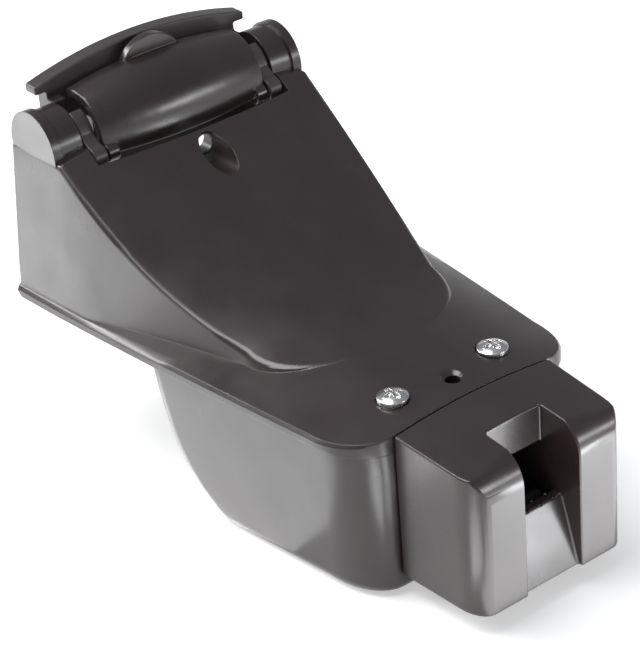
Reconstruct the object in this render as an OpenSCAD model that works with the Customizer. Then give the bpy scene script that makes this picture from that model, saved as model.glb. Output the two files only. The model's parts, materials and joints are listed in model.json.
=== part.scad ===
// Transom-mount depth, speed and temperature transducer on a kick-up release bracket.
// X runs across the part, Y points to the transom and Z points up.
// The origin lies on the transom plane, midway between the bracket's two fixing holes.
// Profiles are drawn as [distance forward of the transom, height above the hull bottom].

/* [Flange and nose deck] */
// Height of the flange edge above the hull bottom
lip_h = 36; // [34:0.5:38]
// Thickness of the flange edge
lip_t = 2; // [1.5:0.1:3]
// Half width of the flange at its back edge
lip_half_back = 39.6; // [38:0.2:42]
// Half width of the flange where the nose corners begin
lip_half_nose = 30.8; // [30:0.2:33]
// Outward bow of the flange sides halfway along
lip_bow = 0.6; // [0:0.1:1.5]
// Distance of the flange's back edge from the transom
flange_back = 4; // [3:0.5:8]
// Length of the rounded nose corners
nose_corner_l = 14.5; // [10:0.5:17]
// Distance of the flat nose face from the transom
nose_y = 111.2; // [110:0.2:113]
// Half width of the flat nose face
nose_half = 20.6; // [20.5:0.1:22]
// Height of the deck's centre line at the clamp screws
deck_h = 40; // [39:0.2:41]
// Fall of the deck's centre line towards the nose, in degrees
deck_slope = 5; // [3:0.5:7]

/* [Wedge] */
// Half width of the wedge at its top edges
wedge_half = 33.2; // [32:0.2:35]
// Half width of the wedge's toe corners
toe_half = 25.4; // [23:0.2:28]
// Distance of the toe corners from the transom
toe_corner_y = 70; // [66:0.5:74]
// Distance of the toe's middle from the transom
toe_y = 88; // [84:0.5:94]
// Height of the wedge's top edge on the centre line
wedge_top_h = 71.7; // [70:0.1:73]
// Height of the toe on the centre line
toe_h = 41.3; // [41:0.1:43]
// Distance from the transom where the sloping face starts
slope_y = 19; // [18:0.5:22]
// Crown of the sloping face across its width
slope_crown = 3; // [1:0.2:4]
// Wall thickness of the wedge and of the deck
wall = 3; // [2.2:0.2:4]
// Outward flare of the wedge's foot for each unit back from the toe corners
foot_flare = 0.25; // [0.15:0.01:0.3]
// Distance from the transom at which the sloping face bends most
bend_y = 57; // [55:0.5:60]
// Height of the corner that the bend rounds off
bend_h = 43.4; // [42.5:0.1:45]
// Radius of the wedge's and the flange's edges
edge_r = 1.2; // [0.6:0.1:2]
// Thickness of the wedge's side panels below the fixing holes
panel_t = 3.5; // [3:0.1:6]
// Distance from the transom at which the thin part of the side panels ends
pocket_y = 30; // [26:0.5:32]
// Distance of the wedge's bulkhead from the transom
bulkhead_y = 52; // [48:0.5:54]
// Thickness of the bulkhead
bulkhead_t = 5; // [4:0.5:6]

/* [Pivot and cover] */
// Distance of the pivot axis from the transom
pivot_y = 9; // [9:0.1:11]
// Height of the pivot axis above the hull bottom
pivot_h = 69.3; // [68:0.1:70]
// Radius of the round ears
ear_r = 8.6; // [7.5:0.1:8.7]
// Half distance between the inner faces of the ears
ear_in = 25.5; // [24:0.1:27]
// Radius of the pivot pins
pin_r = 3.5; // [2.5:0.1:4]
// Running clearance on the radius of the pins
run_gap = 0.05; // [0.02:0.01:0.1]
// Gap between pieces that pass each other
side_gap = 0.3; // [0.3:0.05:0.5]
// Thickness of the bracket arms
arm_t = 3.4; // [2.5:0.1:4]
// Largest radius of the cover, in its middle
cover_r = 11.8; // [11:0.1:12.4]
// Radius of the cover at its ends
cover_end_r = 9.8; // [9:0.1:10.5]
// Wall thickness of the cover
cover_t = 2; // [1.6:0.1:2.4]
// Gap between the cover and the trough in the wedge
trough_gap = 1.8; // [1:0.1:2.5]
// Distance of the cover hinge forward of the pivot axis
hinge_forward = 9.3; // [8.5:0.1:9.6]
// Drop of the cover hinge below the pivot axis
hinge_drop = 2; // [1:0.1:3]
// Radius of the cover's hinge studs
stud_r = 1.3; // [1:0.1:1.6]
// Radius of the relief that lets the cover swing open
relief_r = 6.2; // [5.8:0.1:7]
// Radius of the half-round thumb tab
tab_r = 8.5; // [6:0.5:10]
// Thickness of the thumb tab
tab_t = 2.2; // [1.6:0.2:3]
// Height of the thumb tab's top above the hull bottom
tab_top_h = 84.9; // [83:0.1:87]

/* [Bracket] */
// Height of the two fixing holes above the hull bottom
screw_line_h = 52; // [50:0.5:54]
// Distance between the two fixing holes
screw_span = 28; // [24:0.5:36]
// Radius of the fixing holes
screw_hole_r = 2.3; // [2:0.1:2.6]
// Thickness of the back plate
plate_t = 4; // [3:0.2:4.4]
// Height of the back plate's lower edge
plate_low_h = 43; // [42:0.5:46]
// Height of the back plate's top at its ends
plate_end_h = 80.3; // [79:0.1:83]
// Height of the back plate's top in the middle
plate_top_h = 84.3; // [82:0.1:87]
// Half width of the back plate above the ears
plate_half = 28; // [26:0.5:31]
// Length of the height-adjusting slots
slot_l = 12; // [8:0.5:14]
// Distance between the height-adjusting slots
slot_span = 34; // [20:0.5:36]

/* [Hull] */
// Inset of the hull below the flange edge
hull_inset = 1.2; // [1:0.1:2]
// Narrowing of the hull towards its bottom, each side
hull_draft = 0.8; // [0:0.1:1.5]
// Distance of the bow from the transom, under the flange
bow_y = 42; // [40:0.5:44]
// Rake of the bow at its top, as forward run for each unit of drop
bow_rake = 0.18; // [0.1:0.01:0.25]
// Extra forward run of the bow at the hull bottom
bow_sweep = 14; // [8:0.5:16]
// Plan radius of the bow corners
bow_r = 9; // [6:0.5:12]
// Radius of the bottom edges
bilge_r = 3; // [2:0.2:4]
// Thickness of the acoustic window in the hull bottom
window_t = 4; // [3:0.2:5]

/* [Paddlewheel block] */
// Distance of the block's front face from the transom
block_y = 134.2; // [133:0.2:137]
// Height of the block's underside above the hull bottom
block_low = 4.7; // [4:0.1:5.2]
// Half width of the block's front corners' start
block_half = 19.8; // [19.2:0.1:20]
// Width of the rounded front corners
block_corner_w = 3.9; // [2:0.1:5]
// Length of the rounded front corners
block_corner_l = 6.5; // [3:0.5:8]
// Radius of the rounded top front edge
block_round_r = 7.2; // [6:0.2:9]
// Half width of the paddlewheel slot
slot_half = 7.2; // [6.8:0.1:8]
// Distance of the slot's back wall from the transom
slot_wall_y = 123; // [121:0.5:125]
// Height of the slot's back wall's lower edge
slot_wall_h = 29.6; // [27:0.2:31]
// Height of the ledge in the slot
ledge_h = 19.6; // [18:0.2:21]
// Distance of the ledge's front edge from the transom
ledge_y = 128.6; // [128:0.1:130]
// Depth of the ledge
ledge_l = 2.4; // [2:0.1:3]
// Seam between the block and the hull
seam = 0.2; // [0.1:0.05:0.3]
// Length of the tongue under the deck
tongue_l = 15; // [13:0.5:16]
// Half width of the tongue
tongue_half = 19; // [18.5:0.1:19.5]
// Thickness of the tongue
tongue_t = 8; // [6:0.5:9]

/* [Paddlewheel] */
// Distance of the wheel's axle from the transom
wheel_y = 117.5; // [116.5:0.1:117.8]
// Height of the wheel's axle above the hull bottom
wheel_h = 12; // [11.6:0.1:12.5]
// Radius of the wheel
wheel_r = 8.2; // [7.6:0.1:8.4]
// Half width of the wheel
wheel_half = 6.5; // [5.5:0.1:6.6]
// Number of blades
blades = 4; // [4:1:6]
// Thickness of a blade
blade_t = 1.8; // [1.4:0.1:2.4]
// Radius of the wheel's hub
hub_r = 3; // [2.6:0.1:3.4]
// Radius of the axle
axle_r = 1.5; // [1.2:0.1:1.8]
// Length of the axle
axle_l = 22; // [20:0.5:26]
// Radius of a wheel magnet
magnet_r = 1.1; // [0.8:0.1:1.3]
// Length of a wheel magnet
magnet_l = 4; // [2:0.5:6]

/* [Deck fittings] */
// Distance of the clamp screws from the transom
clamp_y = 102.5; // [101:0.5:104]
// Distance between the clamp screws
clamp_span = 26.4; // [24:0.2:28]
// Radius of a clamp screw's head
head_r = 3.3; // [2.8:0.1:3.6]
// Height of a clamp screw's head
head_t = 2.2; // [1.6:0.1:2.6]
// Radius of a clamp screw's shank
shank_r = 1.75; // [1.4:0.05:2]
// Length of a clamp screw's shank
shank_l = 11; // [8:0.5:12]
// Distance of the drain hole from the transom
drain_y = 105.4; // [104:0.2:107]
// Radius of the drain hole
drain_r = 1.6; // [1.2:0.1:2]
// Distance of the access hole from the transom, on the sloping face
access_y = 30.2; // [29:0.2:33]
// Radius of the access hole
access_r = 3.4; // [2.8:0.1:3.8]

/* [Sensing parts] */
// Distance of the ceramic's axis from the transom
ceramic_y = 85; // [84.5:0.1:85.5]
// Radius of the ceramic
ceramic_r = 12.5; // [10:0.5:13]
// Thickness of the ceramic
ceramic_t = 8; // [6:0.5:9]
// Wall of the isolation sleeve
sleeve_t = 2.4; // [1.6:0.2:2.8]
// Thickness of the backing disc
backing_t = 3; // [2:0.2:4]
// Thickness of the encapsulant above the backing disc
encapsulant_t = 3; // [2:0.2:3.4]
// Thickness of the circuit board
board_t = 1.6; // [1:0.2:2]
// Length of the hall sensor
hall_l = 5; // [4:0.5:6]
// Radius of the hall sensor
hall_r = 2.4; // [1.8:0.1:2.8]
// Radius of the temperature sensor
probe_r = 2; // [1.5:0.1:2.5]
// Height of the cable gland's axis above the hull bottom
gland_h = 39.8; // [39.5:0.1:40]
// Radius of the gland's bore
gland_bore_r = 3.3; // [3:0.1:3.4]
// Radius of the gland's thread
gland_r = 4; // [3.9:0.05:4.1]

/* [Hidden] */
$fn = 64;
eps = 0.01;
past = 2;
plastic = "#2b2728";
seat_gap = 0.45;
wheel_room = 1;
hall_wall = 2;
head_sink = 0.6;
ear_disc_t = 2.2;
edge_share = 0.4;
tip_wall = 0.6;
arm_wall = 4;
knuckle_wall = 1.3;
boss_wall = 0.9;
block_flare = 0.7;
ramp_land = 1;
groove_w = 0.7;
groove_d = 0.4;
grooves = 4;
bow_power = 4;
crown_steps = 6;
arch_steps = 10;
first_blade = 45;
hex_fn = 6;

// Heights and places that follow from the sizes above
flange_low = lip_h - lip_t;
nose_start = nose_y - nose_corner_l;
trough_r = cover_r + trough_gap;
arm_out = ear_in - side_gap;
arm_in = arm_out - arm_t;
cover_half = arm_in - side_gap;
hinge_y = pivot_y + hinge_forward;
hinge_h = pivot_h - hinge_drop;
bracket_seat = plate_t + seat_gap;
toe_run = toe_y - toe_corner_y;
last_toe_step = 75;
cover_crown = cover_r - cover_end_r;
room_back = bulkhead_y + bulkhead_t;
room_half = toe_half - 2 * wall;
cavity_half = lip_half_nose - hull_inset - wall;
tongue_top = flange_low;
tongue_low = tongue_top - tongue_t;
tongue_back = nose_y - tongue_l;
cavity_front = tongue_back - wall - edge_r;
block_back = nose_y + seam;
pocket_back = wheel_y - wheel_r - wheel_room;
pocket_top = wheel_h + wheel_r + wheel_room;
hall_front = pocket_back - hall_wall;
well_front = hall_front - hall_l;
backing_h = window_t + ceramic_t;
encapsulant_h = backing_h + backing_t;
board_h = encapsulant_h + encapsulant_t;
bore_gap = 0.05;
screw_seat_h = deck_z(clamp_span / 2, clamp_y) - head_sink;
access_h = wedge_mid(access_y);
collar_t = 3;
nut_l = 7;
thread_l = 4.5;
nut_lip_t = 1;
collar_wall = 1.6;
nut_wall = 1.4;

// Half width of the flange edge, without and with its rounded nose corners
function side_half(y) =
    let (t = min(1, max(0, (y - flange_back) / (nose_start - flange_back))))
    lip_half_back + (lip_half_nose - lip_half_back) * t + 4 * lip_bow * t * (1 - t);
function lip_half(y) =
    y > nose_start
    ? nose_half + (lip_half_nose - nose_half) * cos(asin(min(1, (y - nose_start) / nose_corner_l)))
    : side_half(y);

// Height of the deck on the centre line, and at a distance from it
function deck_mid(y) = deck_h + (clamp_y - y) * tan(deck_slope);
function deck_z(x, y) = lip_h + (deck_mid(y) - lip_h) * (1 - pow(x / side_half(y), 2));

// Height of the sloping face on the centre line: a parabola through its top, bend and toe
function bend_part(y) =
    let (run = 2 * (bend_y - slope_y), curve = slope_y - 2 * bend_y + toe_y, d = max(0, y - slope_y))
    2 * d / (run + sqrt(run * run + 4 * curve * d));
function wedge_mid(y) =
    let (t = bend_part(y))
    wedge_top_h * pow(1 - t, 2) + 2 * bend_h * t * (1 - t) + toe_h * t * t;

// Half width of the sloping face, without and with its rounded toe
function slope_half(y) =
    let (t = max(0, (y - slope_y) / (toe_corner_y - slope_y)))
    wedge_half - (wedge_half - toe_half) * t * t;
function face_half(y) =
    y > toe_corner_y
    ? toe_half * sqrt(max(0, 1 - pow((y - toe_corner_y) / toe_run, 2)))
    : slope_half(y);
function foot_half(y) =
    y > toe_corner_y
    ? face_half(y) + edge_r / 2
    : min(lip_half(y) - edge_r, toe_half + edge_r / 2 + (toe_corner_y - y) * foot_flare);
function face_z(x, y) = wedge_mid(y) - slope_crown * pow(x / slope_half(min(y, toe_corner_y)), 2);

// Height of the inside of the sloping face
function ceiling(y) = wedge_mid(y) - slope_crown - wall;

// Forward place of the raked bow at a height
function bow(z) =
    let (drop = flange_low - z)
    bow_y + bow_rake * drop + bow_sweep * pow(drop / flange_low, bow_power);
function hull_half(y, z) = lip_half(y) - hull_inset - hull_draft * (flange_low - z) / flange_low;

// A right half outline and its mirror image as one closed ring
function both_sides(half) =
    concat(half, [for (i = [len(half) - 1:-1:0])
        if (half[i][0] > eps) [-half[i][0], half[i][1], half[i][2]]]);

// A solid through rings of points, each ring with the same number of points
module loft(rings) {
    n = len(rings);
    m = len(rings[0]);
    sides = [for (i = [0:n - 2], j = [0:m - 1])
        let (k = (j + 1) % m)
        each [[i * m + j, i * m + k, (i + 1) * m + k], [i * m + j, (i + 1) * m + k, (i + 1) * m + j]]];
    ends = [[for (j = [m - 1:-1:0]) j], [for (j = [0:m - 1]) (n - 1) * m + j]];
    polyhedron([for (ring = rings) each ring], concat(sides, ends));
}

// A side profile of [forward distance, height], drawn out across the part
module across(half) {
    rotate([90, 0, -90])
        translate([0, 0, -half])
            linear_extrude(2 * half) children();
}

// A front view of [across, height], drawn out forward from a distance
module forward(from, depth) {
    translate([0, -from, 0])
        rotate([90, 0, 0])
            linear_extrude(depth) children();
}

// A round bar across the part, from one place on X to another
module cross_bar(y, z, r, x0, x1) {
    translate([x0, -y, z])
        rotate([0, 90, 0])
            cylinder(r = r, h = x1 - x0);
}

// A round bar along Y, from one forward distance to a larger one
module long_bar(x, z, r, y0, y1, sides = $fn) {
    translate([x, -y0, z])
        rotate([90, 0, 0])
            cylinder(r = r, h = y1 - y0, $fn = sides);
}

// A block given by its half width, forward distances and heights
module slab(half, y0, y1, z0, z1) {
    translate([-half, -y1, z0])
        cube([2 * half, y1 - y0, z1 - z0]);
}

// Copies on both sides of the part
module pair() {
    children();
    mirror([1, 0, 0]) children();
}

module rounded_plan(half, y0, y1, r) {
    for (x = [-half + r, half - r], y = [-y0 - r, -y1 + r])
        translate([x, y]) circle(r);
    translate([-half + r, -y1]) square([2 * (half - r), y1 - y0]);
    translate([-half, -y1 + r]) square([2 * half, y1 - y0 - 2 * r]);
}

// Ring of the upper housing at a distance forward: flange, side panel, rounded edge and crowned top.
// Past the toe the same points lie on the deck.
function housing_ring(y) =
    let (on_wedge = y < toe_y,
         b = lip_half(y),
         rim = b - edge_r / 2,
         e = on_wedge ? face_half(y) : toe_half * cos(last_toe_step),
         w = on_wedge ? foot_half(y) : e + edge_r / 2,
         foot = deck_z(w, y),
         top = on_wedge ? max(face_z(e, y), foot) : deck_z(e, y),
         part = min(edge_share, edge_r / max(edge_r, top - foot)),
         round = part * max(0, top - foot))
    both_sides(concat(
        [[b, -y, flange_low], [b, -y, deck_z(b, y) - edge_r / 2]],
        [for (i = [0:3]) let (x = rim + (w - rim) * i / 3) [x, -y, deck_z(x, y)]],
        [[e + (w - e) * part, -y, top - round], [e - edge_r / 4, -y, top - round / 4]],
        [for (i = [0:4]) let (x = (e - edge_r) * (1 - i / 4))
            [x, -y, on_wedge ? max(face_z(x, y), deck_z(x, y)) : deck_z(x, y)]]));

// Flange, nose deck and wedge as one moulding
module housing_body() {
    slope = [for (i = [0:12]) slope_y + (toe_corner_y - slope_y) * i / 12];
    toe = [for (a = [7.5:7.5:last_toe_step]) toe_corner_y + toe_run * sin(a)];
    deck = [for (i = [0:2]) toe_y + edge_r + (nose_start - toe_y - edge_r) * i / 2];
    corner = [for (a = [10:10:90]) nose_start + nose_corner_l * sin(a)];
    stations = concat([pivot_y - ear_r], slope, toe, deck, corner);
    loft([for (i = [len(stations) - 1:-1:0]) housing_ring(stations[i])]);
}

// Round ears, each a thin outer disc on a slightly smaller barrel, and their pivot pins
module ears() {
    pair() {
        cross_bar(pivot_y, pivot_h, ear_r, wedge_half - ear_disc_t, wedge_half);
        cross_bar(pivot_y, pivot_h, ear_r - edge_r / 2, ear_in, wedge_half - eps);
    }
}

module pivot_pins() {
    pair() cross_bar(pivot_y, pivot_h, pin_r, arm_in, ear_in + eps);
}

// A turned bar across the part whose radius falls from its middle to its ends
module crowned_bar(y, z, r_mid, r_end, half) {
    rim = [for (i = [-crown_steps:crown_steps]) [r_end + (r_mid - r_end) * (1 - pow(i / crown_steps, 2)),
                                                 half * i / crown_steps]];
    translate([0, -y, z])
        rotate([0, 90, 0])
            rotate_extrude() polygon(concat([[0, -half]], rim, [[0, half]]));
}

// Space between the side panels, open to the back, below and to the trough
module wedge_hollow() {
    roof = [for (i = [0:4]) let (y = bulkhead_y + (slope_y - bulkhead_y) * i / 4) [y, ceiling(y)]];
    across(ear_in)
        polygon(concat([[-past, -past], [bulkhead_y, -past]], roof, [[-past, ceiling(slope_y)]]));
    slab(wedge_half - panel_t, -past, pocket_y, -past, screw_line_h - wall);
    slab(ear_in, -past, bracket_seat, -past, plate_top_h);
}

module upper_housing() {
    back_lean = [[-past, -past], [flange_back + edge_r, -past], [flange_back + edge_r, flange_low],
                 [flange_back, flange_low + edge_r], [pivot_y - ear_r, pivot_h], [-past, pivot_h]];
    color(plastic) {
        difference() {
            union() {
                difference() {
                    housing_body();
                    across(lip_half_back + past) polygon(back_lean);
                }
                ears();
            }
            wedge_hollow();
            crowned_bar(pivot_y, pivot_h, trough_r, trough_r - cover_crown, ear_in);
            crowned_bar(hinge_y, hinge_h, relief_r, relief_r - cover_crown, ear_in);
            long_bar(0, access_h, access_r, pivot_y, toe_corner_y);
            across(room_half)
                polygon([[room_back, flange_low - past], [cavity_front, flange_low - past],
                         [cavity_front, deck_z(room_half, cavity_front) - wall],
                         [toe_corner_y, deck_z(room_half, toe_corner_y) - wall],
                         [room_back, ceiling(room_back)]]);
            long_bar(0, gland_h, gland_r + bore_gap, bulkhead_y - past, room_back + past);
            pair() {
                translate([clamp_span / 2, -clamp_y, screw_seat_h]) cylinder(r = head_r + side_gap, h = wall);
                translate([clamp_span / 2, -clamp_y, 0]) cylinder(r = shank_r + bore_gap, h = deck_h + past);
            }
            translate([0, -drain_y, flange_low + lip_t / 2]) cylinder(r = drain_r, h = wall + past);
            translate([0, -drain_y, deck_mid(drain_y) - edge_r / 2])
                cylinder(r1 = drain_r, r2 = 2 * drain_r, h = edge_r);
        }
        pivot_pins();
    }
}

// Ring of the hull at a height, drawn in by the rounding of its bottom edges
function hull_ring(z, inset) =
    let (back = bow(z) + inset,
         r = bow_r,
         corner_x = hull_half(back + r, z) - inset - r,
         front_x = hull_half(nose_start, z) - inset,
         flat_x = nose_half - inset,
         front = nose_y - inset)
    both_sides(concat(
        [for (a = [0:10:90]) [corner_x + r * sin(a), -back - r + r * cos(a), z]],
        [for (i = [1:4]) let (y = back + r + (nose_start - back - r) * i / 4)
            [hull_half(y, z) - inset, -y, z]],
        [for (a = [10:10:90])
            [flat_x + (front_x - flat_x) * cos(a), -nose_start - (front - nose_start) * sin(a), z]]));

module hull_shell() {
    bilge = [for (a = [0:15:75]) [bilge_r * (1 - cos(a)), bilge_r * (1 - sin(a))]];
    side = [for (i = [0:8]) [bilge_r + (flange_low - bilge_r) * i / 8, 0]];
    color(plastic)
        difference() {
            loft([for (level = concat(bilge, side)) hull_ring(level[0], level[1])]);
            across(cavity_half)
                polygon([[bow(window_t) + wall, window_t], [well_front, window_t], [well_front, board_h],
                         [cavity_front, board_h], [cavity_front, flange_low + past],
                         [room_back, flange_low + past], [room_back, flange_low - wall]]);
            slab(tongue_half + seam, tongue_back - seam, nose_y + past, tongue_low - seam, flange_low + past);
            slab(slot_half, pocket_back, nose_y + past, -past, pocket_top);
            long_bar(0, wheel_h, hall_r + bore_gap, well_front - past, hall_front);
            translate([cavity_half - 2 * probe_r, -ceramic_y, -past])
                cylinder(r = probe_r + bore_gap, h = window_t + 2 * past);
            pair() translate([clamp_span / 2, -clamp_y, screw_seat_h - shank_l - seam])
                cylinder(r = shank_r + bore_gap, h = shank_l);
            gasket_ring(seam);
        }
}

// Sealing ring in a groove of the hull's rim, round the cavity
module gasket_ring(spare) {
    ring_w = 2;
    ring_t = 1.6;
    reach = 1.2;
    y0 = room_back - reach - ring_w;
    y1 = cavity_front + reach + ring_w;
    half = cavity_half + reach + ring_w;
    translate([0, 0, flange_low - ring_t - spare])
        linear_extrude(ring_t + 2 * spare)
            difference() {
                rounded_plan(half + spare, y0 - spare, y1 + spare, bow_r);
                rounded_plan(half - ring_w - spare, y0 + ring_w + spare, y1 - ring_w - spare, bow_r - ring_w);
            }
}

module housing_gasket() {
    color("#151515") gasket_ring(0);
}

// Outline of the paddlewheel block seen from above
function block_plan() =
    let (half = concat(
        [[block_half + block_flare, block_back]],
        [for (a = [0:15:90]) [block_half - block_corner_w * (1 - cos(a)),
                              block_y - block_corner_l * (1 - sin(a))]]))
    concat([for (p = half) [p[0], -p[1]]], [for (i = [len(half) - 1:-1:0]) [-half[i][0], -half[i][1]]]);

module block_profile() {
    centre = [block_y - block_round_r, deck_mid(block_y - block_round_r) - block_round_r / cos(deck_slope)];
    polygon([[block_back, block_low], [block_y, block_low], [block_y, centre[1]], centre,
             centre + block_round_r * [sin(deck_slope), cos(deck_slope)],
             [block_back, deck_mid(block_back)]]);
    translate(centre) circle(block_round_r);
}

// Water slot above the grooved ledge and the ramp, and the wheel chamber behind them
module block_slot() {
    ledge_back = ledge_y - ledge_l;
    ramp_foot = block_y - ramp_land;
    across(slot_half)
        polygon([[slot_wall_y, deck_h + past], [slot_wall_y, slot_wall_h], [block_back - past, slot_wall_h],
                 [block_back - past, -past], [ramp_foot - 2 * ledge_l, -past],
                 [ramp_foot - 2 * ledge_l, block_low],
                 [ledge_back, ledge_h / 2], [ledge_back, ledge_h], [ledge_y, ledge_h], [ramp_foot, block_low],
                 [ramp_foot, -past], [block_y + past, -past], [block_y + past, deck_h + past]]);
    for (i = [0:grooves - 1])
        translate([slot_half * ((2 * i + 1) / grooves - 1), 0, 0])
            slab(groove_w / 2, ledge_back, ledge_y, ledge_h - groove_d, ledge_h + past);
}

module paddlewheel_housing() {
    seat_r = axle_r + bore_gap;
    crown_drop = deck_mid(nose_y) - deck_z(nose_half, nose_y);
    crown = [for (i = [-crown_steps:crown_steps])
        [nose_half * i / crown_steps, -crown_drop * pow(i / crown_steps, 2)]];
    color(plastic)
        difference() {
            union() {
                intersection() {
                    linear_extrude(deck_h + past) polygon(block_plan());
                    across(nose_half + past) block_profile();
                    translate([0, -nose_y, deck_mid(nose_y)])
                        rotate([deck_slope, 0, 0])
                            forward(-tongue_l, block_y - nose_y + 2 * tongue_l)
                                polygon(concat(crown, [[nose_half, -deck_h], [-nose_half, -deck_h]]));
                }
                slab(tongue_half, tongue_back, block_back + wheel_room, tongue_low, tongue_top);
            }
            block_slot();
            slab(axle_l / 2, block_back - past, wheel_y, wheel_h - seat_r, wheel_h + seat_r);
            cross_bar(wheel_y, wheel_h, seat_r, -axle_l / 2 - bore_gap, axle_l / 2 + bore_gap);
            pair() translate([clamp_span / 2, -clamp_y, tongue_low - past])
                cylinder(r = shank_r + bore_gap, h = tongue_t + 2 * past);
        }
}

// Pan-head screws with a cross recess
module clamp_screw() {
    recess_w = head_r * 0.3;
    recess_l = head_r * 1.2;
    difference() {
        union() {
            intersection() {
                cylinder(r = head_r, h = head_t);
                translate([0, 0, head_t - 2 * head_r]) sphere(2 * head_r);
            }
            translate([0, 0, -shank_l]) cylinder(r = shank_r, h = shank_l + eps);
        }
        for (turn = [0, 90])
            rotate([0, 0, turn])
                translate([-recess_l / 2, -recess_w / 2, head_t / 2]) cube([recess_l, recess_w, head_t]);
    }
}

module clamp_screws() {
    color("#d8d8d6")
        pair() translate([clamp_span / 2, -clamp_y, screw_seat_h]) clamp_screw();
}

module paddlewheel_axle() {
    color("#c9cacc") cross_bar(wheel_y, wheel_h, axle_r, -axle_l / 2, axle_l / 2);
}

// Places of the magnets, one in the bead on each blade's tip
module at_tips() {
    translate([0, -wheel_y, wheel_h])
        for (i = [0:blades - 1])
            rotate([i * 360 / blades + first_blade, 0, 0])
                translate([0, 0, wheel_r - magnet_r - tip_wall]) children();
}

module paddlewheel() {
    bead_r = magnet_r + tip_wall;
    color("#1d1b1c")
        difference() {
            union() {
                cross_bar(wheel_y, wheel_h, hub_r, -wheel_half, wheel_half);
                at_tips() {
                    rotate([0, 90, 0]) cylinder(r = bead_r, h = 2 * wheel_half, center = true);
                    translate([-wheel_half, -blade_t / 2, -wheel_r + bead_r + axle_r + tip_wall])
                        cube([2 * wheel_half, blade_t, wheel_r - bead_r - axle_r - tip_wall]);
                }
            }
            cross_bar(wheel_y, wheel_h, axle_r + run_gap, -wheel_half - past, wheel_half + past);
            at_tips() translate([wheel_half - magnet_l, 0, 0])
                rotate([0, 90, 0]) cylinder(r = magnet_r + bore_gap, h = magnet_l + past);
        }
}

module wheel_magnets() {
    color("#77797c")
        at_tips() translate([wheel_half - magnet_l, 0, 0])
            rotate([0, 90, 0]) cylinder(r = magnet_r, h = magnet_l);
}

module piezo_ceramic() {
    color("#e6dfd0") translate([0, -ceramic_y, window_t]) cylinder(r = ceramic_r, h = ceramic_t);
}

module isolation_sleeve() {
    color("#9a7448")
        translate([0, -ceramic_y, window_t])
            difference() {
                cylinder(r = ceramic_r + bore_gap + sleeve_t, h = ceramic_t + backing_t);
                translate([0, 0, -past])
                    cylinder(r = ceramic_r + bore_gap, h = ceramic_t + backing_t + 2 * past);
            }
}

module backing_disc() {
    color("#9a7448") translate([0, -ceramic_y, backing_h]) cylinder(r = ceramic_r, h = backing_t);
}

module encapsulant() {
    color("#4a4540")
        slab(cavity_half - seam, bow(window_t) + wall + seam, well_front - seam, encapsulant_h, board_h);
}

module circuit_board() {
    color("#1f5a35")
        slab(room_half, bow(window_t) + wall + seam, cavity_front - seam, board_h, board_h + board_t);
}

module hall_sensor() {
    color("#202020") long_bar(0, wheel_h, hall_r, well_front, hall_front);
}

module temperature_sensor() {
    color("#b98e4a")
        translate([cavity_half - 2 * probe_r, -ceramic_y, seam])
            cylinder(r = probe_r, h = window_t + probe_r);
}

// Cable gland through the bulkhead: threaded body with a hexagon collar
module cable_gland() {
    color("#232122")
        difference() {
            union() {
                long_bar(0, gland_h, gland_r, bulkhead_y - collar_t - thread_l, room_back);
                long_bar(0, gland_h, gland_r + collar_wall, bulkhead_y - collar_t, bulkhead_y, hex_fn);
            }
            long_bar(0, gland_h, gland_bore_r, bulkhead_y - collar_t - thread_l - past, room_back + past);
        }
}

module gland_nut() {
    nut_front = bulkhead_y - collar_t;
    color("#232122")
        difference() {
            long_bar(0, gland_h, gland_r + nut_wall, nut_front - nut_l, nut_front, hex_fn);
            long_bar(0, gland_h, gland_r + bore_gap, nut_front - nut_l + nut_lip_t, nut_front + past);
            long_bar(0, gland_h, gland_bore_r + bore_gap, nut_front - nut_l - past, nut_front);
        }
}

module gland_seal() {
    nut_front = bulkhead_y - collar_t;
    color("#111111")
        difference() {
            long_bar(0, gland_h, gland_r, nut_front - nut_l + nut_lip_t, nut_front - thread_l);
            long_bar(0, gland_h, gland_bore_r + bore_gap, nut_front - nut_l, nut_front);
        }
}

// Crowned barrel that keeps the pivot pins in the bracket, with hinge studs and a thumb tab
module retaining_cover() {
    start_angle = 160;
    sweep_angle = 125;
    outer = [for (i = [-crown_steps:crown_steps]) [cover_end_r + cover_crown * (1 - pow(i / crown_steps, 2)),
                                                   cover_half * i / crown_steps]];
    inner = [for (i = [2 * crown_steps:-1:0]) outer[i] - [cover_t, 0]];
    stud_reach = arm_out - side_gap;
    boss_r = stud_r + boss_wall;
    tab_y = bracket_seat + edge_r;
    color(plastic) {
        translate([0, -pivot_y, pivot_h])
            rotate([0, 90, 0])
                rotate([0, 0, start_angle])
                    rotate_extrude(angle = sweep_angle) polygon(concat(outer, inner));
        pair() {
            cross_bar(hinge_y, hinge_h, boss_r, cover_half - wall, cover_half - cover_t / 10);
            cross_bar(hinge_y, hinge_h, stud_r, cover_half - wall / 2, stud_reach);
        }
        difference() {
            union() {
                long_bar(0, tab_top_h - tab_r, tab_r, tab_y, tab_y + tab_t);
                slab(tab_r, tab_y, tab_y + tab_t, pivot_h, tab_top_h - tab_r);
            }
            slab(tab_r + past, tab_y - past, tab_y + tab_t + past, -past, pivot_h);
            cross_bar(pivot_y, pivot_h, cover_r - cover_t + eps, -tab_r - past, tab_r + past);
        }
    }
}

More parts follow.
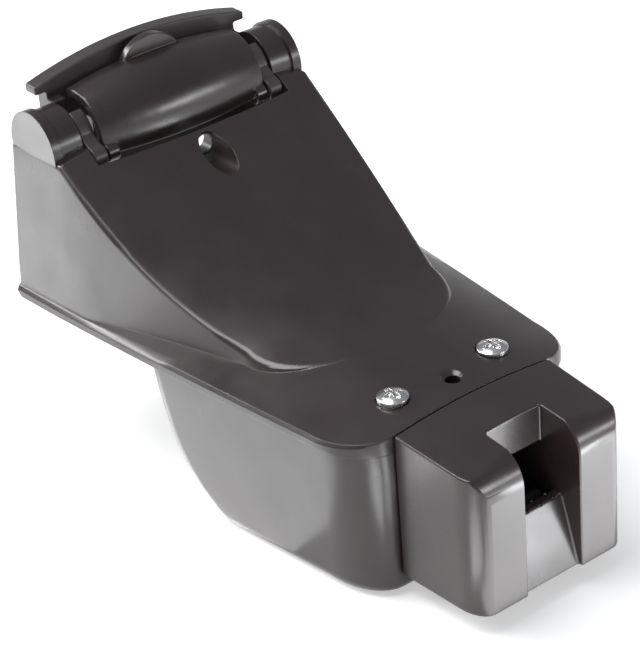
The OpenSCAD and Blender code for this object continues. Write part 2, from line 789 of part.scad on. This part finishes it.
// Back plate with an arched head, fixing holes, adjusting slots and the two pivot arms
module transom_bracket() {
    shoulder_h = pivot_h + ear_r + 2 * side_gap;
    arch_rise = plate_top_h - plate_end_h;
    arch = [for (i = [arch_steps:-1:-arch_steps])
        [plate_half * i / arch_steps, plate_end_h + arch_rise * (1 - pow(i / arch_steps, 2))]];
    arch_top = max(plate_top_h, plate_end_h) + past;
    slot_mid_h = access_h;
    slot_straight = slot_l - 2 * screw_hole_r;
    arm_r = pin_r + arm_wall;
    knuckle_r = stud_r + knuckle_wall;
    arm_low = pivot_h - arm_r - wall;
    mouth = 2 * pin_r - stud_r;
    color(plastic) {
        difference() {
            union() {
                forward(0, plate_t)
                    intersection() {
                        polygon(concat(arch, [[-plate_half, plate_low_h], [plate_half, plate_low_h]]));
                        union() {
                            translate([-arm_out, plate_low_h]) square([2 * arm_out, arch_top - plate_low_h]);
                            translate([-plate_half, shoulder_h]) square([2 * plate_half, arch_top]);
                        }
                    }
                pair() translate([arm_in + arm_t / 2, 0, 0])
                    across(arm_t / 2) {
                        translate([pivot_y, pivot_h]) circle(arm_r);
                        translate([hinge_y, hinge_h]) circle(knuckle_r);
                        polygon([[0, arm_low], [plate_t, arm_low], [pivot_y, pivot_h - arm_r],
                                 [hinge_y, hinge_h - knuckle_r], [hinge_y, hinge_h + knuckle_r],
                                 [pivot_y, pivot_h + arm_r], [0, pivot_h + arm_r]]);
                    }
            }
            pair() {
                long_bar(screw_span / 2, screw_line_h, screw_hole_r, -past, plate_t + past);
                for (rise = [-1, 1])
                    long_bar(slot_span / 2, slot_mid_h + rise * slot_straight / 2, screw_hole_r,
                             -past, plate_t + past);
                translate([slot_span / 2 - screw_hole_r, -plate_t - past, slot_mid_h - slot_straight / 2])
                    cube([2 * screw_hole_r, plate_t + 2 * past, slot_straight]);
                cross_bar(pivot_y, pivot_h, pin_r + run_gap, arm_in - past, ear_in);
                cross_bar(hinge_y, hinge_h, stud_r + run_gap, arm_in - past, ear_in);
                translate([arm_in - eps, -pivot_y - mouth / 2, pivot_h])
                    cube([arm_t + 2 * eps, mouth, arm_r + past]);
            }
            long_bar(0, access_h, screw_hole_r, -past, plate_t + past);
        }
    }
}

// Each node stands with the fixing holes' height at zero
module placed() {
    translate([0, 0, -screw_line_h]) children();
}

placed() transom_bracket();
placed() retaining_cover();
placed() upper_housing();
placed() hull_shell();
placed() housing_gasket();
placed() paddlewheel_housing();
placed() clamp_screws();
placed() paddlewheel_axle();
placed() paddlewheel();
placed() wheel_magnets();
placed() piezo_ceramic();
placed() isolation_sleeve();
placed() backing_disc();
placed() encapsulant();
placed() circuit_board();
placed() hall_sensor();
placed() temperature_sensor();
placed() cable_gland();
placed() gland_nut();
placed() gland_seal();
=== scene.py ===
"""Looks of a transom-mount sonar transducer: finishes, edge rounding, studio light and camera.

Lengths are metres in the part's own frame: X across, Y towards the transom, Z up.
"""

import json
import math

import bmesh
import bpy
from mathutils import Matrix, Vector


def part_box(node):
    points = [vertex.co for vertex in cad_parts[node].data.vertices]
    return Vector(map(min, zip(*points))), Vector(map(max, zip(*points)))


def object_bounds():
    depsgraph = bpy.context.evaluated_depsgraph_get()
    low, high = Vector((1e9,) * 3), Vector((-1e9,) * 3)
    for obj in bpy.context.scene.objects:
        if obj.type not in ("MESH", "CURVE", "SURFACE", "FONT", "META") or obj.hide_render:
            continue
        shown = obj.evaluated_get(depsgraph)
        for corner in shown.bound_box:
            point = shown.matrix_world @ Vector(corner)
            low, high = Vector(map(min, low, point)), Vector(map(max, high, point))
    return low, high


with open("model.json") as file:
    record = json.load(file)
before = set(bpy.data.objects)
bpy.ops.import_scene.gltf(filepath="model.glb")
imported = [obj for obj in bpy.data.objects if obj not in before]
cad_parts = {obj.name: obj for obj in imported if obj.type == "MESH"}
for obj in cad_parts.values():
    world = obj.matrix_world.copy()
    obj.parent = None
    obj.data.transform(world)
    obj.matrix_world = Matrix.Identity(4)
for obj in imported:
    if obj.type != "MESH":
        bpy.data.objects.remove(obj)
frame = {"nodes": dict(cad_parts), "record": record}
CAD_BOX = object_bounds()
NODES = frame["nodes"]
MM = 0.001

# The photograph's camera
PHOTO_W, PHOTO_H = 640, 655
AZIMUTH, ELEVATION, ROLL = -36.0, 30.3, -4.75
FOCAL_PX = 2400
DISTANCE = 0.48
AIM_PX = (443, 370.5)
AIM_BELOW_HEADS = 0.8 * MM
SENSOR = 36

# Lamps that face the middle of the part: place, size and watts
LAMPS = (("key", (-0.62, 0.36, 1.75), (1.2, 1.2), 31.0),
         ("edge strip", (-0.49, 0.70, 0.45), (0.5, 0.3), 6.5),
         ("front card", (0.54, -0.92, 0.20), (0.35, 0.14), 1.8))

# Pale panels on the table, which the upright faces mirror: middle, size and watts
PANELS = (("wedge panel", -0.152, 0.105, 0.15, 0.20, 0.245),
          ("hull panel", -0.056, -0.046, 0.05, 0.08, 0.021),
          ("corner panel", -0.047, -0.141, 0.022, 0.022, 0.008),
          ("post panel", 0.025, -0.160, 0.11, 0.043, 0.054),
          ("ramp panel", 0.050, -0.215, 0.07, 0.070, 0.260),
          ("cover panel", 0.130, -0.325, 0.08, 0.120, 0.050))
PANEL_LIFT = 1 * MM
PANEL_TINT = (0.96, 0.98, 1.0)

# Studio; the sky's colours go by height, from the horizon up
SKY = [(0.0, (0.62, 0.62, 0.63)), (0.16, (0.52, 0.53, 0.55)),
       (0.36, (0.22, 0.23, 0.25)), (1.0, (0.32, 0.34, 0.37))]
FLOOR_GAP = 0.1 * MM
FLOOR_Z = CAD_BOX[0].z - FLOOR_GAP
FLOOR_HALF = 4.0
FLOOR_GREY = 0.70
FLOOR_EVENNESS = 0.995
FLOOR_LIFT = 0.46

# Shading and edges of the mouldings
PLASTIC_IOR = 1.52
COAT_ROUGHNESS = 0.2
SOFT_EDGE = 0.35 * MM
SOFT_EDGE_SAMPLES = 6
WELD = 0.002 * MM
FLAT_ANGLE = math.radians(0.2)
ROUND_ANGLE = math.radians(38)
ROUND_STEPS = 3
CREASE_ANGLE = math.radians(32)

# The deck's flat middle strip meets its crowned sides at two seams, which are shaded as one curve
SEAM_X = 7.2 * MM
SEAM_REACH = 2.2 * MM
SEAM_FRONT = (-111 * MM, -108 * MM)
SEAM_BACK = (-84 * MM, -80 * MM)


def new_material(name):
    """A material that holds only an output and a principled shader."""
    mat = bpy.data.materials.new(name)
    mat.use_nodes = True
    tree = mat.node_tree
    tree.nodes.clear()
    out = tree.nodes.new("ShaderNodeOutputMaterial")
    shader = tree.nodes.new("ShaderNodeBsdfPrincipled")
    tree.links.new(shader.outputs[0], out.inputs["Surface"])
    return mat, tree, shader


def noise(tree, scale, detail=4.0, roughness=0.5, stretch=(1, 1, 1)):
    """Noise in object space, with its scale in waves for each metre."""
    coords = tree.nodes.new("ShaderNodeTexCoord")
    mapping = tree.nodes.new("ShaderNodeMapping")
    mapping.inputs["Scale"].default_value = stretch
    tex = tree.nodes.new("ShaderNodeTexNoise")
    tex.inputs["Scale"].default_value = scale
    tex.inputs["Detail"].default_value = detail
    tex.inputs["Roughness"].default_value = roughness
    tree.links.new(coords.outputs["Object"], mapping.inputs["Vector"])
    tree.links.new(mapping.outputs[0], tex.inputs["Vector"])
    return tex.outputs["Fac"]


def ramp(tree, value, stops):
    """Colours along a value; each stop is (place, colour)."""
    node = tree.nodes.new("ShaderNodeValToRGB")
    elements = node.color_ramp.elements
    for i, (place, colour) in enumerate(stops):
        element = elements[i] if i < 2 else elements.new(place)
        element.position = place
        element.color = (*colour, 1)
    tree.links.new(value, node.inputs["Fac"])
    return node.outputs["Color"]


def spread(tree, value, low, high, start=0.3, end=0.7):
    """A value moved from start..end to low..high."""
    node = tree.nodes.new("ShaderNodeMapRange")
    node.inputs["From Min"].default_value = start
    node.inputs["From Max"].default_value = end
    node.inputs["To Min"].default_value = low
    node.inputs["To Max"].default_value = high
    tree.links.new(value, node.inputs["Value"])
    return node.outputs["Result"]


def maths(tree, operation, first, second=0.0):
    """One step of maths on a value, with another value or a number."""
    node = tree.nodes.new("ShaderNodeMath")
    node.operation = operation
    tree.links.new(first, node.inputs[0])
    if isinstance(second, float):
        node.inputs[1].default_value = second
    else:
        tree.links.new(second, node.inputs[1])
    return node.outputs[0]


def seam_share(tree):
    """1 along the deck's two seams, falling to 0 beside them and at their ends."""
    coords = tree.nodes.new("ShaderNodeTexCoord")
    split = tree.nodes.new("ShaderNodeSeparateXYZ")
    tree.links.new(coords.outputs["Object"], split.inputs[0])
    off = maths(tree, "SUBTRACT", maths(tree, "ABSOLUTE", split.outputs["X"]), SEAM_X)
    share = spread(tree, maths(tree, "ABSOLUTE", off), 1, 0, 0, SEAM_REACH)
    share = maths(tree, "MULTIPLY", share, spread(tree, split.outputs["Y"], 0, 1, *SEAM_FRONT))
    return maths(tree, "MULTIPLY", share, spread(tree, split.outputs["Y"], 1, 0, *SEAM_BACK))


def soft_edges(tree, radius):
    """Normals that round sharp edges and even out the seams of the deck."""
    node = tree.nodes.new("ShaderNodeBevel")
    node.samples = SOFT_EDGE_SAMPLES
    tree.links.new(spread(tree, seam_share(tree), radius, SEAM_REACH, 0, 1), node.inputs["Radius"])
    return node.outputs["Normal"]


def bumps(tree, shader, layers, normal=None):
    """Chained bump layers over a first normal; each is (height value, depth in metres, strength)."""
    for height, depth, strength in layers:
        node = tree.nodes.new("ShaderNodeBump")
        node.inputs["Distance"].default_value = depth
        node.inputs["Strength"].default_value = strength
        tree.links.new(height, node.inputs["Height"])
        if normal is not None:
            tree.links.new(normal, node.inputs["Normal"])
        normal = node.outputs["Normal"]
    tree.links.new(normal, shader.inputs["Normal"])


def moulded(name, dark, light, rough, gloss):
    """Moulded plastic: faint flow marks, a fine grain, uneven gloss and soft edges."""
    mat, tree, shader = new_material(name)
    flow = noise(tree, 45, 3.0, 0.55, (1, 0.5, 1))
    grain = noise(tree, 1100, 0.0)
    haze = noise(tree, 110, 2.0, 0.5)
    tree.links.new(ramp(tree, flow, [(0.3, dark), (0.7, light)]), shader.inputs["Base Color"])
    tree.links.new(spread(tree, haze, *rough), shader.inputs["Roughness"])
    shader.inputs["IOR"].default_value = PLASTIC_IOR
    shader.inputs["Coat Weight"].default_value = gloss
    shader.inputs["Coat Roughness"].default_value = COAT_ROUGHNESS
    layers = [(flow, 0.4 * MM, 0.12), (grain, 0.02 * MM, 0.05)]
    bumps(tree, shader, layers, soft_edges(tree, SOFT_EDGE))
    return mat


def steel(name, dark, light):
    """Bright stainless steel with fine turning scratches."""
    mat, tree, shader = new_material(name)
    scratch = noise(tree, 900, 6.0, 0.7, (6, 6, 0.4))
    tone = noise(tree, 300, 3.0)
    tree.links.new(ramp(tree, tone, [(0.3, dark), (0.7, light)]), shader.inputs["Base Color"])
    tree.links.new(spread(tree, scratch, 0.16, 0.34), shader.inputs["Roughness"])
    shader.inputs["Metallic"].default_value = 1.0
    bumps(tree, shader, [(scratch, 0.02 * MM, 0.3)])
    return mat


def speckled(name, stops, scale, rough, depth):
    """A grainy solid: cork, fired ceramic, sintered magnet or cast resin."""
    mat, tree, shader = new_material(name)
    fleck = noise(tree, scale, 6.0, 0.7)
    tree.links.new(ramp(tree, fleck, stops), shader.inputs["Base Color"])
    tree.links.new(spread(tree, noise(tree, scale * 2), *rough), shader.inputs["Roughness"])
    bumps(tree, shader, [(fleck, depth, 0.4)])
    return mat


def board(name):
    """Circuit board: solder mask over fine tracks."""
    mat, tree, shader = new_material(name)
    coords = tree.nodes.new("ShaderNodeTexCoord")
    brick = tree.nodes.new("ShaderNodeTexBrick")
    brick.inputs["Scale"].default_value = 260
    brick.inputs["Mortar Size"].default_value = 0.06
    brick.inputs["Color1"].default_value = (0.016, 0.11, 0.045, 1)
    brick.inputs["Color2"].default_value = (0.02, 0.14, 0.06, 1)
    brick.inputs["Mortar"].default_value = (0.05, 0.22, 0.09, 1)
    tree.links.new(coords.outputs["Object"], brick.inputs["Vector"])
    tree.links.new(brick.outputs["Color"], shader.inputs["Base Color"])
    tree.links.new(spread(tree, noise(tree, 400), 0.3, 0.45), shader.inputs["Roughness"])
    bumps(tree, shader, [(brick.outputs["Fac"], 0.03 * MM, 0.4)])
    return mat


MATERIALS = {
    "black_plastic": moulded("black_plastic", (0.020, 0.0135, 0.013), (0.028, 0.0195, 0.019),
                             (0.25, 0.36), 0.3),
    "bracket_plastic": moulded("bracket_plastic", (0.034, 0.028, 0.028), (0.044, 0.037, 0.037),
                               (0.38, 0.50), 0.1),
    "wheel_plastic": moulded("wheel_plastic", (0.010, 0.009, 0.0095), (0.018, 0.016, 0.017),
                             (0.38, 0.50), 0.0),
    "steel": steel("steel", (0.66, 0.66, 0.65), (0.80, 0.80, 0.79)),
    "rubber": speckled("rubber", [(0.3, (0.010, 0.010, 0.010)), (0.7, (0.020, 0.020, 0.020))],
                       700, (0.6, 0.8), 0.05 * MM),
    "magnet": speckled("magnet", [(0.3, (0.15, 0.15, 0.155)), (0.7, (0.25, 0.25, 0.26))],
                       1500, (0.4, 0.6), 0.03 * MM),
    "ceramic": speckled("ceramic", [(0.3, (0.74, 0.69, 0.58)), (0.7, (0.84, 0.80, 0.71))],
                        1200, (0.45, 0.6), 0.02 * MM),
    "cork": speckled("cork", [(0.35, (0.16, 0.08, 0.035)), (0.5, (0.36, 0.22, 0.11)),
                              (0.7, (0.46, 0.31, 0.17))],
                     900, (0.75, 0.9), 0.1 * MM),
    "epoxy": speckled("epoxy", [(0.3, (0.045, 0.041, 0.037)), (0.7, (0.075, 0.068, 0.060))],
                      180, (0.3, 0.45), 0.05 * MM),
    "board": board("board"),
    "brass": steel("brass", (0.50, 0.33, 0.14), (0.66, 0.47, 0.23)),
}

# The bracket is a plainer, filled plastic than the glossy sensor
OWN_FINISH = {"transom_bracket": "bracket_plastic"}


def dress(node, slot):
    """Gives a node its finish and smooth shading."""
    obj = NODES[node]
    obj.data.materials.clear()
    obj.data.materials.append(MATERIALS[OWN_FINISH.get(node, slot)])
    for polygon in obj.data.polygons:
        polygon.material_index = 0
        polygon.use_smooth = True
    return obj


# Edge radius of each exact piece that shows
ROUNDING = {
    "transom_bracket": 0.35 * MM,
    "retaining_cover": 0.25 * MM,
    "paddlewheel_housing": 0.45 * MM,
    "clamp_screws": 0.10 * MM,
    "paddlewheel": 0.15 * MM,
    "cable_gland": 0.20 * MM,
    "gland_nut": 0.20 * MM,
}

# Faceted mouldings, whose edges are softened in the shading
LOFTED = ("upper_housing", "hull_shell")


def round_edges(obj, width):
    """Joins the facets, rounds the sharp edges and keeps flat faces flat."""
    weld = obj.modifiers.new("weld", "WELD")
    weld.merge_threshold = WELD
    flat = obj.modifiers.new("flat faces", "DECIMATE")
    flat.decimate_type = "DISSOLVE"
    flat.angle_limit = FLAT_ANGLE
    bevel = obj.modifiers.new("rounded edges", "BEVEL")
    bevel.width = width
    bevel.segments = ROUND_STEPS
    bevel.limit_method = "ANGLE"
    bevel.angle_limit = ROUND_ANGLE
    bevel.use_clamp_overlap = False
    bevel.miter_outer = "MITER_ARC"
    normal = obj.modifiers.new("even shading", "WEIGHTED_NORMAL")
    normal.keep_sharp = True


def crease_edges(obj):
    """Joins the facets of a lofted moulding into smooth faces that meet at creases."""
    weld = obj.modifiers.new("weld", "WELD")
    weld.merge_threshold = WELD
    crease = obj.modifiers.new("creases", "EDGE_SPLIT")
    crease.split_angle = CREASE_ANGLE
    normal = obj.modifiers.new("even shading", "WEIGHTED_NORMAL")
    normal.keep_sharp = True


for row in frame["record"]["subparts"]:
    part = dress(row["node"], row["material_slot"])
    if row["node"] in ROUNDING:
        round_edges(part, ROUNDING[row["node"]])
    elif row["node"] in LOFTED:
        crease_edges(part)


def plane(name, half, height):
    """A flat square, for the studio only."""
    mesh = bpy.data.meshes.new(name)
    shape = bmesh.new()
    signs = ((-1, -1), (1, -1), (1, 1), (-1, 1))
    corners = [shape.verts.new((x * half, y * half, height)) for x, y in signs]
    shape.faces.new(corners)
    shape.to_mesh(mesh)
    shape.free()
    obj = bpy.data.objects.new(name, mesh)
    bpy.context.scene.collection.objects.link(obj)
    return obj


def seen_light(tree, strength):
    """A strength that only camera, glossy and transmission rays meet."""
    path = tree.nodes.new("ShaderNodeLightPath")
    total = path.outputs["Is Camera Ray"]
    for name in ("Is Glossy Ray", "Is Transmission Ray"):
        total = maths(tree, "MAXIMUM", total, path.outputs[name])
    return maths(tree, "MULTIPLY", total, strength)


def floor():
    """White table top that keeps the part's shadow."""
    obj = plane("floor", FLOOR_HALF, FLOOR_Z)
    mat, tree, shader = new_material("floor")
    tone = noise(tree, 3)
    dull = FLOOR_GREY * FLOOR_EVENNESS
    stops = [(0.3, (dull,) * 3), (0.7, (FLOOR_GREY,) * 3)]
    tree.links.new(ramp(tree, tone, stops), shader.inputs["Base Color"])
    shader.inputs["Roughness"].default_value = 0.9
    shader.inputs["Specular IOR Level"].default_value = 0.0
    shader.inputs["Emission Color"].default_value = (1, 1, 1, 1)
    tree.links.new(seen_light(tree, FLOOR_LIFT), shader.inputs["Emission Strength"])
    obj.data.materials.append(mat)


def lamp(name, place, target, size, watts, colour=(1, 1, 1)):
    """A rectangular soft box that faces a target and isn't itself seen."""
    data = bpy.data.lights.new(name, "AREA")
    data.shape = "RECTANGLE"
    data.size, data.size_y = size
    data.energy = watts
    data.color = colour
    obj = bpy.data.objects.new(name, data)
    obj.location = place
    obj.rotation_euler = (Vector(target) - Vector(place)).to_track_quat("-Z", "Y").to_euler()
    obj.visible_camera = False
    bpy.context.scene.collection.objects.link(obj)


def studio():
    """Soft key from the upper left, strips for edges and barrels, panels on the table, a plain sky."""
    middle = (CAD_BOX[0] + CAD_BOX[1]) / 2
    low = FLOOR_Z + PANEL_LIFT
    for name, place, size, watts in LAMPS:
        lamp(name, place, middle, size, watts)
    for name, x, y, wide, deep, watts in PANELS:
        lamp(name, (x, y, low), (x, y, 1), (wide, deep), watts, PANEL_TINT)
    world = bpy.data.worlds.new("studio")
    world.use_nodes = True
    tree = world.node_tree
    tree.nodes.clear()
    out = tree.nodes.new("ShaderNodeOutputWorld")
    sky = tree.nodes.new("ShaderNodeBackground")
    coords = tree.nodes.new("ShaderNodeTexCoord")
    split = tree.nodes.new("ShaderNodeSeparateXYZ")
    tree.links.new(coords.outputs["Generated"], split.inputs[0])
    shade = ramp(tree, split.outputs["Z"], SKY)
    tree.links.new(shade, sky.inputs["Color"])
    tree.links.new(sky.outputs[0], out.inputs["Surface"])
    bpy.context.scene.world = world


def camera():
    """The photograph's viewpoint: the middle between the clamp screws lies at AIM_PX."""
    turn, rise, roll = (math.radians(v) for v in (AZIMUTH, ELEVATION, ROLL))
    back = Vector((math.sin(turn) * math.cos(rise), -math.cos(turn) * math.cos(rise), math.sin(rise)))
    level = Vector((math.cos(turn), math.sin(turn), 0))
    upright = back.cross(level)
    right = math.cos(roll) * level + math.sin(roll) * upright
    up = -math.sin(roll) * level + math.cos(roll) * upright
    low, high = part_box("clamp_screws")
    aim = Vector((0, (low.y + high.y) / 2, high.z - AIM_BELOW_HEADS))
    shift = (AIM_PX[0] - PHOTO_W / 2) * right - (AIM_PX[1] - PHOTO_H / 2) * up
    data = bpy.data.cameras.new("camera")
    data.sensor_width = SENSOR
    data.lens = FOCAL_PX * SENSOR / max(PHOTO_W, PHOTO_H)
    data.clip_start = 0.01
    obj = bpy.data.objects.new("camera", data)
    place = Matrix((right, up, back)).transposed().to_4x4()
    place.translation = aim + back * DISTANCE - shift * DISTANCE / FOCAL_PX
    obj.matrix_world = place
    bpy.context.scene.collection.objects.link(obj)
    bpy.context.scene.camera = obj


floor()
studio()
camera()
bpy.context.scene.view_settings.view_transform = "Standard"
